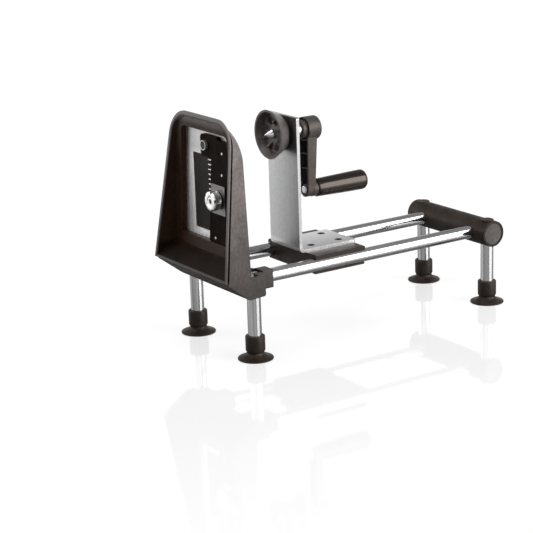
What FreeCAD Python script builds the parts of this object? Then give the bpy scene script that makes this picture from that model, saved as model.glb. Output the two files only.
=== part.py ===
import FreeCAD, Part
import math
import os

# Hand-cranked vegetable spiralizer. Millimetres, +Z up.
# X runs along the two rails, from the blade housing (-X) to the rear crossbar (+X).
# Y = 0 is the middle plane, and the side at -Y is called near, the one at +Y far.
# The origin lies on the worktop, under the middle of the overall length.

# ---------------------------------------------------------------- driving sizes
tube_d = 14.0               # rails and legs are the same stainless tube
tube_wall = 1.0
leg_pitch = 302.8           # front legs to rear legs
rail_y = 40.8               # rail axes, either side of the middle
rail_z = 78.2               # rail axes above the worktop
bore_web = 0.4              # plastic left between a rail bore and the leg bore beside it

fit = 0.02                  # radial play of pieces pressed or glued together
run_fit = 0.06              # radial play of a turning fit
pass_gap = 0.3              # between faces of pieces that move past each other

cup_r = 18.2                # suction foot
cup_rim_t = 1.2
cup_rim_w = 2.0
cup_cone_h = 5.6
cup_dome_h = 3.6
neck_r = 8.9
neck_h = 1.6
sleeve_r = 10.0
sleeve_top = 24.5
sleeve_floor = 8.0
sleeve_edge = 0.8

lip_reach = 40.0            # foremost lip edge ahead of the front leg axis
lip_bottom = 87.3           # housing mouth, seen from the front
lip_top = 242.5
lip_half_bottom = 69.7      # half width at the bottom of the lip
side_taper = 0.0875         # loss of half width per unit of height
mouth_lean = 0.1345         # the mouth leans back by this much per unit of height
shoulder_r = 28.0
lip_t = 1.4
lip_gap = 2.2               # shadow groove between the lip and the casing
casing_inset = 0.4
casing_wall = 1.5
casing_draft = 0.17         # the sides close in by this much per unit of depth
roof_fall = 11.5            # the roof slopes down by this much to the back
back_shoulder_r = 40.0
tray_wall = 1.2
tray_play = 0.1
housing_back = 4.8          # back face ahead of the front leg axis
back_wall = 5.0
back_edge_r = 6.0
toe_reach = 10.9            # where the sloping underside meets the level one
underside_z = 65.0
bottom_wall = 2.6
tray_floor_step = 12.1      # tray floor ahead of the back face
ramp_rise = 14.0

socket_reach = 10.7         # leg socket behind the front leg axis
socket_half_in = 30.8
socket_top = 86.2
socket_side = 3.2
collar_reach = 27.0         # rail collars behind the front leg axis
collar_wall = 3.2
collar_start = 15.1         # ahead of this the rail lies open in the pocket
collar_rise = 8.8           # collar top above the rail axis
collar_inner_r = 6.0        # top edge towards the middle of the machine
collar_outer_r = 1.0
collar_low_r = 1.2
socket_edge_r = 2.4
pocket_floor = 80.0
pocket_end = 4.5            # behind this the pocket is only as wide as the collar
pocket_wall = 1.6
leg_socket_skin = 3.0
rail_nose = 14.0            # rails reach this far ahead of the front leg axis
rail_nose_skin = 2.0
pin_r = 1.5
pin_tip_gap = 0.9            # below the top of the rail's bore

window_inset = 12.8         # opening in the tray floor, filled by the blade plate
window_low = 114.0
window_past = 14.4          # top of the window above the crank axis
window_r = 6.0
plate_t = 1.2
plate_inset = 11.3
plate_low = 111.0
plate_past = 1.1            # top of the plate above the window
plate_r = 10.0
throat_far = 31.2           # opening in the blade plate
throat_low = 122.0
throat_under = 11.8         # throat, comb and head meet this far below the crank axis
edge_root_y = -12.4         # the bevelled cutting edge, bent out of the plate
edge_tip_y = -1.6
edge_rise = 2.0             # thickness of a slice
edge_low = 128.0
edge_past = 1.0
mouth_y = 1.8               # far edge of the slit beside the cutting edge
mouth_play = 0.5

holder_far_top = -12.4      # comb holder in front of the blade plate
holder_far_low = -1.2
holder_past = 7.8
holder_t = 4.4
head_far = 9.0
head_past = 10.8
head_near = -21.0
head_r = 4.0
comb_t = 1.0
comb_near = -40.0
comb_far = -6.5
comb_low = 131.0
tooth_pitch = 5.0
tooth_t = 1.0
tooth_far = 1.4
tooth_near = -0.4
tooth_clear = 0.6
rivet_r = 1.3
rivet_proud = 0.3
rivet_high = (-31.0, 4.1)    # place across, and drop below the crank axis
rivet_mid = (-29.6, 26.0)
rivet_low = (-13.0, 5.0)     # place across, and rise above the window's lower edge

clamp_y = -22.5
clamp_drop = 51.8           # knob axis below the crank axis
clamp_w = 25.0
clamp_h = 30.0
clamp_t = 1.2
stud_r = 2.5
stud_head_r = 4.5
stud_head_t = 1.2
stud_end = 3.6              # stud stops this far behind the knob's front
washer_t = 1.0
washer_r = 6.5
knob_r = 10.0
knob_len = 9.0
knob_lobes = 5
knob_notch_r = 2.4
knob_notch_deep = 1.8
knob_phase = 13.0           # first notch, in degrees from the top

tube_knife_r = 5.0          # coring tube on the crank axis
tube_knife_wall = 0.8
tube_knife_out = 5.9
tube_knife_front = 3.0

screw_r = 1.3               # countersunk screws through the back wall
screw_head_r = 2.4
screw_head_t = 1.3
screw_len = 8.6
screw_inset = 8.9
screw_zs = (118.0, 196.0)

bar_r = 14.3                # rear crossbar
bar_lift = 0.3              # bar axis above the rail axes
bar_edge = 0.8
bar_rail_past = 6.0         # rails run on past the rear leg axis
bar_pin_back = 4.0
end_cap_r = 11.8
end_cap_web = 0.3           # bar left between a leg's bore and the end cap
end_cap_t = 2.64
end_cap_sunk = 0.8
end_cap_edge = 0.4
top_cap_r = 7.2
top_cap_proud = 0.4
top_cap_seat = 3.4
top_cap_stem = 6.0
top_cap_edge = 0.6

plate_rest = 76.3           # bracket front face behind the front leg axis, at rest
bracket_t = 3.5
bracket_half = 26.8
bracket_past = 18.6         # bracket top above the crank axis
bracket_corner = 2.0
bracket_bend = 2.5
foot_len = 71.2
block_lead = 7.9            # block front behind the bracket front face
block_len = 62.3
flange_half = 44.3
block_top_skin = 3.2
lip_skin = 2.0
runner_half = 42.6
block_edge = 0.8
hole_first = 21.7
hole_pitch_x = 35.0
hole_half_y = 15.75
foot_screw_r = 2.0
foot_screw_head_r = 4.0
foot_screw_head_t = 2.2
foot_screw_len = 14.0
hex_socket_r = 1.8
hex_socket_deep = 1.6

crank_fall = 30.7           # crank axis below the top of the lip
crank_r = 64.2
spindle_r = 5.0
bush_r = 7.0
bush_len = 20.6             # barrel behind the bracket front face
bush_flange_r = 11.0
bush_flange_t = 1.4
bush_nut_r = 11.0
bush_nut_t = 4.0

wheel_front_r = 25.4        # drive wheel, a shallow cone with prongs
wheel_back_r = 18.7
wheel_depth = 13.5
wheel_rim = 2.4
wheel_web = 6.5
wheel_boss_r = 9.5
wheel_boss_t = 1.6
prong_count = 8
prong_in = 9.5
prong_out = 19.0
prong_tip = 14.5
prong_h = 5.2
prong_t = 2.0
spike_len = 8.0
spike_proud = 3.5
drive_pin_r = 1.25
drive_pin_len = 26.0

hub_r = 12.4                # crank arm
hub_nose_r = 9.7
hub_nose_len = 5.3
hub_len = 16.2
hub_edge_r = 2.2
hub_groove_w = 1.6
hub_groove_deep = 5.0
arm_half_top = 9.4
arm_half_end = 7.7
arm_t_top = 11.6
arm_t_end = 8.6
arm_wall = 2.0
arm_back = 2.4
rib_t = 1.2
rib_sunk = 1.0
rib_drops = (26.0, 41.5)    # ribs below the crank axis
bolt_boss_r = 5.8
bolt_boss_sunk = 1.6
rear_boss_r = 8.2
rear_boss_t = 4.2
square_half = 3.5
square_lead = 1.3
hub_well_r = 7.2
hub_well_deep = 4.5
hub_washer_t = 1.2
hub_screw_head_r = 4.6
hub_screw_head_t = 2.8
hub_screw_r = 2.5
hub_screw_len = 14.0

bolt_r = 3.0                # handle
bolt_head_r = 4.1
bolt_head_t = 2.4
grip_len = 62.5
grip_r0 = 9.4
grip_r1 = 10.8
grip_edge = 1.0
grip_end_r = 4.0
grip_well_r = 7.0
grip_well_deep = 11.0
grip_plug_t = 4.0
grip_nut_r = 5.6
grip_nut_t = 4.0

# ---------------------------------------------------------------- derived places
tube_r = tube_d / 2
tube_in_r = tube_r - tube_wall
leg_y = rail_y + tube_d + 2 * fit + bore_web
front_leg_x = (lip_reach - leg_pitch - cup_r) / 2
rear_leg_x = front_leg_x + leg_pitch
crank_z = lip_top - crank_fall
handle_z = crank_z - crank_r
clamp_z = crank_z - clamp_drop
bar_z = rail_z + bar_lift
end_cap_in = leg_y + top_cap_r + fit + end_cap_web
bar_half = end_cap_in + end_cap_t + end_cap_sunk
rear_leg_top = bar_z + bar_r + top_cap_proud - top_cap_seat
lip_x = front_leg_x - lip_reach
back_x = front_leg_x - housing_back
wall_x = back_x - back_wall                   # front face of the casing's back wall
plate_x = wall_x - plate_t                    # front face of the blade plate
back_top = lip_top - roof_fall
window_high = crank_z + window_past
plate_high = window_high + plate_past
throat_high = crank_z - throat_under
edge_high = throat_high + edge_past
comb_high = throat_high
head_low = throat_high
head_top = crank_z + head_past
holder_top = crank_z + holder_past
bracket_top = crank_z + bracket_past
rivet_spots = ((rivet_high[0], crank_z - rivet_high[1]), (rivet_mid[0], crank_z - rivet_mid[1]),
               (rivet_low[0], window_low + rivet_low[1]))
tray_inset = casing_inset + casing_wall + tray_play
tray_floor_x = back_x - tray_floor_step
ramp_z = lip_bottom + lip_t + ramp_rise
bay_inset = tray_inset + tray_wall
holder_x = plate_x - holder_t
clamp_x = holder_x - clamp_t
washer_x = clamp_x - washer_t
knob_x = washer_x - knob_len
bracket_x = front_leg_x + plate_rest
bracket_back = bracket_x + bracket_t
block_x = bracket_x + block_lead
groove_r = tube_r + pass_gap
block_top = rail_z + groove_r + block_top_skin
block_bottom = rail_z - groove_r - lip_skin
foot_top = block_top + bracket_t
flange_x = bracket_x - bush_flange_t
wheel_back = flange_x - pass_gap - wheel_boss_t
wheel_front = wheel_back - wheel_depth
wheel_floor = wheel_back - wheel_web
bush_end = bracket_x + bush_len
nose_x = bush_end + pass_gap
arm_x = nose_x + hub_nose_len
hub_back = arm_x + hub_len
well_x = hub_back - hub_well_deep
square_x = arm_x + square_lead
rear_boss_x = arm_x + arm_t_end + rear_boss_t
grip_x = rear_boss_x + pass_gap
grip_end = grip_x + grip_len
grip_well_x = grip_end - grip_well_deep
SIDES = (("near", -1), ("far", 1))


# ---------------------------------------------------------------- helpers
def vec(x, y, z):
    return FreeCAD.Vector(x, y, z)


def box(x0, x1, y0, y1, z0, z1):
    return Part.makeBox(x1 - x0, y1 - y0, z1 - z0, vec(x0, y0, z0))


def rod_x(x0, x1, y, z, r):
    return Part.makeCylinder(r, x1 - x0, vec(x0, y, z), vec(1, 0, 0))


def rod_y(y0, y1, x, z, r):
    return Part.makeCylinder(r, y1 - y0, vec(x, y0, z), vec(0, 1, 0))


def rod_z(z0, z1, x, y, r):
    return Part.makeCylinder(r, z1 - z0, vec(x, y, z0), vec(0, 0, 1))


def face_of(points):
    return Part.Face(Part.makePolygon(points + points[:1]))


def prism_x(outline, x0, x1):
    """Outline of (y, z) points, drawn out from x0 to x1."""
    return face_of([vec(x0, y, z) for y, z in outline]).extrude(vec(x1 - x0, 0, 0))


def prism_y(outline, y0, y1):
    """Outline of (x, z) points, drawn out from y0 to y1."""
    return face_of([vec(x, y0, z) for x, z in outline]).extrude(vec(0, y1 - y0, 0))


def prism_z(outline, z0, z1):
    """Outline of (x, y) points, drawn out from z0 to z1."""
    return face_of([vec(x, y, z0) for x, y in outline]).extrude(vec(0, 0, z1 - z0))


def turned_x(profile, y, z):
    """Profile of (x, radius) points, turned about an axis along X."""
    return face_of([vec(x, y, z + r) for x, r in profile]).revolve(vec(0, y, z), vec(1, 0, 0), 360)


def turned_z(profile, x, y):
    """Profile of (radius, z) points, turned about an upright axis."""
    return face_of([vec(x + r, y, z) for r, z in profile]).revolve(vec(x, y, 0), vec(0, 0, 1), 360)


def hexagon_x(x0, x1, y, z, r):
    corners = [(y + r * math.cos(k * math.pi / 3), z + r * math.sin(k * math.pi / 3)) for k in range(6)]
    return prism_x(corners, x0, x1)


def hexagon_z(z0, z1, x, y, r):
    corners = [(x + r * math.cos(k * math.pi / 3), y + r * math.sin(k * math.pi / 3)) for k in range(6)]
    return prism_z(corners, z0, z1)


def spun_x(shape, y, z, degrees):
    turned = shape.copy()
    turned.rotate(vec(0, y, z), vec(1, 0, 0), degrees)
    return turned


def rounded(shape, radius, wanted):
    """Fillets the edges for which wanted(edge) is true."""
    return shape.makeFillet(radius, [edge for edge in shape.Edges if wanted(edge)])


def runs_along(edge, axis):
    ends = [vertex.Point for vertex in edge.Vertexes]
    if len(ends) < 2:
        return False
    step = ends[1] - ends[0]
    return abs(abs(getattr(step, axis)) - step.Length) < 1e-6


def save(node, *shapes):
    solids = [solid for shape in shapes for solid in shape.removeSplitter().Solids]
    for solid in solids:
        if not solid.isValid():
            raise ValueError(node + " is not a valid solid")
    whole = solids[0] if len(solids) == 1 else Part.makeCompound(solids)
    whole.exportStep("parts/" + node + ".step")
    print("%-22s %2d solid(s) %10.1f mm3" % (node, len(solids), whole.Volume))


# ---------------------------------------------------------------- housing outlines
def mouth_x(z):
    """Front of the lip at height z."""
    return lip_x + mouth_lean * (z - lip_bottom)


def half_width(x, z, inset):
    """Half width of the drafted housing at a place, less an inset."""
    slope = side_taper - casing_draft * mouth_lean
    return lip_half_bottom - inset - casing_draft * (x - lip_x) - slope * (z - lip_bottom)


def roof_share(x):
    """How far x is on the way from the top of the lip (0) to the back face (1)."""
    return (x - mouth_x(lip_top)) / (back_x - mouth_x(lip_top))


def roof_z(x, inset):
    drop = (lip_top - back_top) / (back_x - mouth_x(lip_top))
    return lip_top - drop * (x - mouth_x(lip_top)) - inset * math.hypot(1, drop)


def arched(x, low, half_low, half_high, high, corner):
    """Closed outline at x: straight converging sides and a level top with round corners."""
    lean = math.atan2(half_low - half_high, high - low)
    reach = corner * math.tan(math.pi / 4 - lean / 2)
    side = (half_high + reach * math.sin(lean), high - reach * math.cos(lean))
    middle = (math.pi / 2 + lean) / 2
    centre = (half_high - reach, high - corner)
    bulge = (centre[0] + corner * math.cos(middle), centre[1] + corner * math.sin(middle))
    top = (half_high - reach, high)

    def at(place, hand):
        return vec(x, hand * place[0], place[1])

    foot = (half_low, low)
    return Part.Wire([
        Part.makeLine(at(foot, -1), at(foot, 1)),
        Part.makeLine(at(foot, 1), at(side, 1)),
        Part.Arc(at(side, 1), at(bulge, 1), at(top, 1)).toShape(),
        Part.makeLine(at(top, 1), at(top, -1)),
        Part.Arc(at(top, -1), at(bulge, -1), at(side, -1)).toShape(),
        Part.makeLine(at(side, -1), at(foot, -1)),
    ])


def drafted(inset, x0, x1):
    """Housing form between two places on X, closing in towards the back."""
    wires = []
    for x in (x0, x1):
        high = roof_z(x, inset)
        corner = shoulder_r + (back_shoulder_r - shoulder_r) * roof_share(x) - inset
        wires.append(arched(x, underside_z, half_width(x, underside_z, inset), half_width(x, high, inset),
                            high, corner))
    return Part.makeLoft(wires, True, True)


def straight(inset, x0, x1, low, high, corner):
    """Arched plate with parallel edges, shaped as the housing is at x1."""
    wire = arched(x0, low, half_width(x1, low, inset), half_width(x1, high, inset), high, corner)
    return Part.Face(wire).extrude(vec(x1 - x0, 0, 0))


def side_slab(outline):
    """Side view of (x, z) points, wider than the whole housing."""
    half = lip_half_bottom + cup_r
    return prism_y(outline, -half, half)


# ---------------------------------------------------------------- fixed frame
def suction_foot(x, y):
    cone_r = cup_r - cup_rim_w
    profile = [
        (cup_r, 0), (cup_r, cup_rim_t), (neck_r, cup_cone_h), (neck_r, cup_cone_h + neck_h),
        (sleeve_r, cup_cone_h + 2 * neck_h), (sleeve_r, sleeve_top - sleeve_edge),
        (sleeve_r - sleeve_edge, sleeve_top), (tube_r + fit, sleeve_top), (tube_r + fit, sleeve_floor),
        (0, sleeve_floor), (0, cup_dome_h), (cone_r / 2, cup_dome_h * 0.75), (cone_r, 0),
    ]
    return turned_z(profile, x, y)


def upright_tube(x, y, z0, z1):
    return rod_z(z0, z1, x, y, tube_r).cut(rod_z(z0, z1, x, y, tube_in_r))


def pin_spots():
    front = front_leg_x + (socket_reach + collar_reach) / 2
    rear = rear_leg_x - bar_pin_back
    return [(x, side * rail_y) for x in (front, rear) for _, side in SIDES]


def rail_pin(x, y):
    low = rail_z - tube_r - collar_wall + rivet_proud
    return rod_z(low, rail_z + tube_in_r - pin_tip_gap, x, y, pin_r)


def rail(side):
    y = side * rail_y
    x0 = front_leg_x - rail_nose
    x1 = rear_leg_x + bar_rail_past
    tube = rod_x(x0, x1, y, rail_z, tube_r).cut(rod_x(x0, x1, y, rail_z, tube_in_r))
    for x, pin_y in pin_spots():
        if pin_y == y:
            tube = tube.cut(rod_z(rail_z - 2 * tube_r, rail_z + tube_r / 2, x, y, pin_r + fit))
    return tube


def underside(lift):
    """Slope of the underside, and the point on it ahead of the toe, raised square to itself."""
    slope = (underside_z - lip_bottom) / (lip_reach - toe_reach)
    return slope, underside_z + lift * math.hypot(1, slope)


def casing_shell():
    """Wedge-shaped casing, open to the front, with a flat back wall: outside form and shell."""
    toe_x = front_leg_x - toe_reach
    ahead = lip_x - lip_reach
    slope, toe_z = underside(0)
    groove = lip_t + lip_gap
    front_x = mouth_x(lip_bottom) + groove
    outer = rounded(drafted(casing_inset, lip_x, back_x), back_edge_r,
                    lambda e: e.BoundBox.XMin > back_x - 0.01 and e.CenterOfMass.z > underside_z + 0.01)
    outer = outer.common(side_slab([(front_x, toe_z + slope * (front_x - toe_x)), (toe_x, toe_z),
                                    (front_leg_x, toe_z), (front_leg_x, lip_top * 1.2),
                                    (mouth_x(lip_top * 1.2) + groove, lip_top * 1.2)]))
    slope, toe_z = underside(bottom_wall)
    hollow = drafted(casing_inset + casing_wall, lip_x, wall_x)
    hollow = hollow.common(side_slab([(ahead, toe_z + slope * (ahead - toe_x)), (toe_x, toe_z),
                                      (front_leg_x, underside_z + bottom_wall), (front_leg_x, lip_top * 1.2),
                                      (ahead, lip_top * 1.2)]))
    return outer, outer.cut(hollow)


def corner_block(end):
    """Flat-sided block behind the casing, with the casing's draft and the underside's height."""
    wires = []
    for x in (wall_x, end):
        low = half_width(x, underside_z, casing_inset)
        high = half_width(x, socket_top, casing_inset)
        wires.append(Part.makePolygon([vec(x, -low, underside_z), vec(x, low, underside_z),
                                       vec(x, high, socket_top), vec(x, -high, socket_top),
                                       vec(x, -low, underside_z)]))
    return Part.makeLoft(wires, True, True)


def leg_socket(side):
    """Corner block behind the casing: it holds a leg from below and a rail from behind."""
    end = front_leg_x + socket_reach
    inner = side * socket_half_in
    outer = side * (lip_half_bottom + cup_r)
    block = corner_block(end)
    block = block.common(box(wall_x, end, min(inner, outer), max(inner, outer), underside_z, socket_top))
    block = rounded(block, socket_edge_r, lambda e: abs(e.CenterOfMass.x - end) < 0.01
                    and e.CenterOfMass.z < underside_z + 0.01)
    half = tube_r + collar_wall
    y_in = side * (rail_y - half)
    y_out = side * (rail_y + half)
    top = rail_z + collar_rise
    slot_x = front_leg_x + pocket_end
    collar_x = front_leg_x + collar_start
    collar = box(collar_x, front_leg_x + collar_reach, min(y_in, y_out), max(y_in, y_out), rail_z - half, top)
    for y, z, radius in ((y_in, top, collar_inner_r), (y_out, top, collar_outer_r)):
        collar = rounded(collar, radius, lambda e: runs_along(e, "x") and abs(e.CenterOfMass.y - y) < 0.01
                         and abs(e.CenterOfMass.z - z) < 0.01)
    cradle = box(slot_x, collar_x, min(y_in, y_out), max(y_in, y_out), rail_z - half, socket_top)
    holder = collar.fuse(cradle).removeSplitter()
    holder = rounded(holder, collar_low_r, lambda e: runs_along(e, "x")
                     and e.CenterOfMass.z < rail_z - half + 0.01)
    pocket_in = side * (socket_half_in + socket_side)
    pocket_out = side * (half_width(front_leg_x, socket_top, casing_inset) - socket_side)
    slot_out = side * (rail_y + half - pocket_wall)
    pocket = box(back_x, slot_x, min(pocket_in, pocket_out), max(pocket_in, pocket_out), pocket_floor, lip_top)
    slot = box(slot_x, collar_x, min(pocket_in, slot_out), max(pocket_in, slot_out), pocket_floor, lip_top)
    return block.fuse(holder).cut([pocket, slot])


def blade_housing():
    outer, whole = casing_shell()
    for _, side in SIDES:
        boss = rod_x(front_leg_x - rail_nose - rail_nose_skin, back_x, side * rail_y, rail_z,
                     tube_r + collar_wall)
        whole = whole.fuse([boss.common(outer), leg_socket(side)])
    cuts = []
    for _, side in SIDES:
        y = side * rail_y
        leg_top = pocket_floor - leg_socket_skin
        cuts.append(rod_x(front_leg_x - rail_nose, front_leg_x + collar_reach, y, rail_z, tube_r + fit))
        cuts.append(rod_z(0, leg_top, front_leg_x, side * leg_y, tube_r + fit))
    for x, y in pin_spots():
        cuts.append(rod_z(0, rail_z, x, y, pin_r + fit))
    cuts.append(box(wall_x - 1, back_x + 1, edge_root_y - mouth_play, mouth_y,
                    edge_low - mouth_play, edge_high + mouth_play))
    cuts.append(rod_x(wall_x - 1, back_x + 1, 0, crank_z, tube_knife_r + fit))
    cuts.append(rod_x(wall_x - 1, back_x + 1, clamp_y, clamp_z, stud_r + fit))
    cuts.append(rod_x(back_x - stud_head_t, back_x + 1, clamp_y, clamp_z, stud_head_r + fit))
    cuts += [back_screw(y, z, fit) for y, z in screw_spots()]
    return whole.cut(cuts)


def front_tray():
    """Insert with the lip around the mouth, the ramp and the upright floor with its window."""
    above = lip_top * 1.2
    ahead = lip_x - lip_reach
    lip_slab = side_slab([(mouth_x(0), 0), (mouth_x(0) + lip_t, 0),
                          (mouth_x(above) + lip_t, above), (mouth_x(above), above)])
    lip_wire = arched(lip_x, lip_bottom, lip_half_bottom, lip_half_bottom - side_taper * (lip_top - lip_bottom),
                      lip_top, shoulder_r)
    lip = Part.Face(lip_wire).extrude(vec(lip_reach, 0, 0)).common(lip_slab)
    ramp_low = lip_bottom + lip_t
    slope = ramp_rise / (tray_floor_x - lip_x)
    skin = tray_wall * math.hypot(1, slope)
    body = drafted(tray_inset, lip_x, wall_x)
    body = body.common(side_slab([(lip_x, ramp_low - skin), (tray_floor_x, ramp_z - skin),
                                  (wall_x, ramp_z - skin), (wall_x, above), (mouth_x(above), above)]))
    bay = drafted(bay_inset, lip_x, tray_floor_x)
    bay = bay.common(side_slab([(ahead, ramp_low + slope * (ahead - lip_x)), (tray_floor_x, ramp_z),
                                (tray_floor_x, above), (ahead, above)]))
    window = straight(window_inset, tray_floor_x, plate_x, window_low, window_high, window_r)
    seat = straight(plate_inset - fit, plate_x, wall_x, plate_low - fit, plate_high + fit, plate_r)
    tray = lip.fuse(body).cut([bay, window, seat])
    return tray.cut([back_screw(y, z, fit) for y, z in screw_spots()])


def screw_spots():
    return [(side * half_width(back_x, z, screw_inset), z) for _, side in SIDES for z in screw_zs]


def back_screw(y, z, grow):
    """Countersunk screw, its head flush with the housing's back face."""
    tip = back_x - screw_len - grow
    profile = [(back_x, 0), (back_x, screw_head_r + grow), (back_x - screw_head_t, screw_r + grow),
               (tip, screw_r + grow), (tip, 0)]
    return turned_x(profile, y, z)


# ---------------------------------------------------------------- blades
def slicing_blade():
    """Stainless plate with a throat, one side of which is bent back and ground to an edge."""
    plate = straight(plate_inset, plate_x, wall_x, plate_low, plate_high, plate_r)
    plate = plate.cut(box(plate_x, wall_x, edge_root_y, throat_far, throat_low, throat_high))
    tip_x = back_x + edge_rise
    bevel = plate_t * 1.3
    strip = prism_z([(plate_x, edge_root_y), (plate_x, edge_root_y - plate_t), (wall_x, edge_root_y - plate_t),
                     (wall_x, edge_root_y), (tip_x, edge_tip_y), (tip_x - bevel, edge_tip_y - bevel)],
                    edge_low, throat_high)
    plate = plate.fuse(strip)
    return plate.cut([rod_x(plate_x, wall_x, 0, crank_z, tube_knife_r + fit),
                      rod_x(plate_x, wall_x, clamp_y, clamp_z, stud_r + fit)])


def comb_strip(grow, far):
    return box(plate_x - comb_t - grow, plate_x, comb_near - grow, far + grow, comb_low - grow,
               comb_high + grow)


def comb_blade():
    """Row of small upright knives in front of the cutting edge, on one flat strip."""
    x0 = plate_x - comb_t
    x1 = back_x + edge_rise - tooth_clear
    tooth_view = [(x0, comb_far - tooth_t), (x0, tooth_far), (x1, tooth_far), (x1, tooth_near),
                  (plate_x, tooth_near), (plate_x, comb_far - tooth_t)]
    comb = comb_strip(0, comb_far).cut(rod_x(x0, plate_x, clamp_y, clamp_z, stud_r + fit))
    count = int((comb_high - comb_low - tooth_t) / tooth_pitch) + 1
    for k in range(count):
        z = comb_low + k * tooth_pitch
        comb = comb.fuse(prism_z(tooth_view, z, z + tooth_t))
    return comb


def comb_holder():
    """Black moulded carrier for the comb, with a head around the coring tube."""
    low = window_low + pass_gap
    inset = window_inset + pass_gap
    panel = prism_x([(-half_width(plate_x, low, inset), low), (holder_far_low, low),
                     (holder_far_top, holder_top), (-half_width(plate_x, holder_top, inset), holder_top)],
                    holder_x, plate_x)
    head = prism_x([(holder_far_top, head_low), (head_far, head_low), (head_far, head_top),
                    (head_near, head_top), (head_near - head_r, holder_top), (head_near, head_low)],
                   holder_x, plate_x)
    head = rounded(head, head_r, lambda e: runs_along(e, "x") and e.CenterOfMass.y > head_far - 0.01)
    holder = panel.fuse(head)
    holder = holder.cut([comb_strip(fit, head_far), rod_x(holder_x, plate_x, 0, crank_z, tube_knife_r + fit),
                         rod_x(holder_x, plate_x, clamp_y, clamp_z, stud_r + fit)])
    return holder.cut([rod_x(holder_x, plate_x, y, z, rivet_r + fit) for y, z in rivet_spots])


def comb_rivets():
    """Steel rivets through the holder, the upper two down to the comb's strip."""
    rivets = []
    for y, z in rivet_spots:
        on_comb = comb_near < y < comb_far and comb_low < z < comb_high
        end = plate_x - (comb_t if on_comb else 0)
        rivets.append(rod_x(holder_x - rivet_proud, end, y, z, rivet_r))
    return rivets


def coring_tube():
    """Short steel tube on the crank axis that cores the vegetable and lets the core out."""
    x0 = holder_x - tube_knife_front
    x1 = back_x + tube_knife_out
    inner = tube_knife_r - tube_knife_wall
    profile = [(x0, inner), (x0, tube_knife_r), (x1 - tube_knife_wall * 2, tube_knife_r), (x1, inner)]
    return turned_x(profile, 0, crank_z)


def clamp_plate():
    half_w = clamp_w / 2
    half_h = clamp_h / 2
    plate = box(clamp_x, holder_x, clamp_y - half_w, clamp_y + half_w, clamp_z - half_h, clamp_z + half_h)
    plate = rounded(plate, clamp_t, lambda e: runs_along(e, "x"))
    return plate.cut(rod_x(clamp_x, holder_x, clamp_y, clamp_z, stud_r + run_fit))


def clamp_stud():
    head = rod_x(back_x - stud_head_t, back_x, clamp_y, clamp_z, stud_head_r)
    return head.fuse(rod_x(knob_x + stud_end, back_x - stud_head_t, clamp_y, clamp_z, stud_r))


def knob_washer():
    ring = rod_x(washer_x, clamp_x, clamp_y, clamp_z, washer_r)
    return ring.cut(rod_x(washer_x, clamp_x, clamp_y, clamp_z, stud_r + run_fit))


def clamp_knob():
    """Nickel-plated thumb nut with broad lobes and a dished front."""
    profile = [(washer_x, 0), (washer_x, knob_r - 1.4), (washer_x - 1.2, knob_r - 1.0),
               (washer_x - 1.6, knob_r), (knob_x + 1.4, knob_r), (knob_x, knob_r - 1.6),
               (knob_x, knob_r / 2), (knob_x + 0.8, knob_r / 2 - 0.6), (knob_x + 0.8, 0)]
    knob = turned_x(profile, clamp_y, clamp_z)
    notch_z = clamp_z + knob_r + knob_notch_r - knob_notch_deep
    notch = rod_x(knob_x - 1, washer_x - 1.6, clamp_y, notch_z, knob_notch_r)
    turns = [knob_phase + 360.0 * k / knob_lobes for k in range(knob_lobes)]
    knob = knob.cut([spun_x(notch, clamp_y, clamp_z, degrees) for degrees in turns])
    return knob.cut(rod_x(knob_x - 1, washer_x + 1, clamp_y, clamp_z, stud_r + run_fit))


# ---------------------------------------------------------------- rear crossbar
def rear_crossbar():
    bar = rod_y(-bar_half, bar_half, rear_leg_x, bar_z, bar_r)
    bar = bar.makeFillet(bar_edge, [e for e in bar.Edges if len(e.Vertexes) == 1])
    cuts = []
    for _, side in SIDES:
        y_out = side * bar_half
        y_in = side * end_cap_in
        cuts.append(rod_y(min(y_in, y_out), max(y_in, y_out), rear_leg_x, bar_z, end_cap_r + fit))
        cuts.append(rod_z(0, rear_leg_top, rear_leg_x, side * leg_y, tube_r + fit))
        cuts.append(rod_z(rear_leg_top, bar_z + 2 * bar_r, rear_leg_x, side * leg_y, top_cap_r + fit))
        cuts.append(rod_x(rear_leg_x - 2 * bar_r, rear_leg_x + bar_rail_past, side * rail_y, rail_z,
                          tube_r + fit))
    for x, y in pin_spots():
        if x > 0:
            cuts.append(rod_z(0, rail_z, x, y, pin_r + fit))
    return bar.cut(cuts)


def bar_end_cap(side):
    y_out = side * (bar_half - end_cap_sunk)
    y_in = side * end_cap_in
    cap = rod_y(min(y_in, y_out), max(y_in, y_out), rear_leg_x, bar_z, end_cap_r)
    return rounded(cap, end_cap_edge, lambda e: len(e.Vertexes) == 1 and abs(e.CenterOfMass.y - y_out) < 0.01)


def leg_top_cap(side):
    seat = rear_leg_top
    top = seat + top_cap_seat
    profile = [(0, seat - top_cap_stem), (tube_in_r - fit, seat - top_cap_stem), (tube_in_r - fit, seat),
               (top_cap_r, seat), (top_cap_r, top - top_cap_edge), (top_cap_r - top_cap_edge, top), (0, top)]
    return turned_z(profile, rear_leg_x, side * leg_y)


# ---------------------------------------------------------------- carriage
def foot_screw_spots():
    first = bracket_x + hole_first
    return [(x, side * hole_half_y) for x in (first, first + hole_pitch_x) for _, side in SIDES]


def foot_screw(x, y, grow):
    """Countersunk screw, its head flush with the bracket's foot."""
    low = foot_top - foot_screw_len - grow
    profile = [(0, foot_top), (foot_screw_head_r + grow, foot_top),
               (foot_screw_r + grow, foot_top - foot_screw_head_t), (foot_screw_r + grow, low), (0, low)]
    return turned_z(profile, x, y)


def bracket_screw(x, y):
    return foot_screw(x, y, 0).cut(hexagon_z(foot_top - hex_socket_deep, foot_top + 1, x, y, hex_socket_r))


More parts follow.
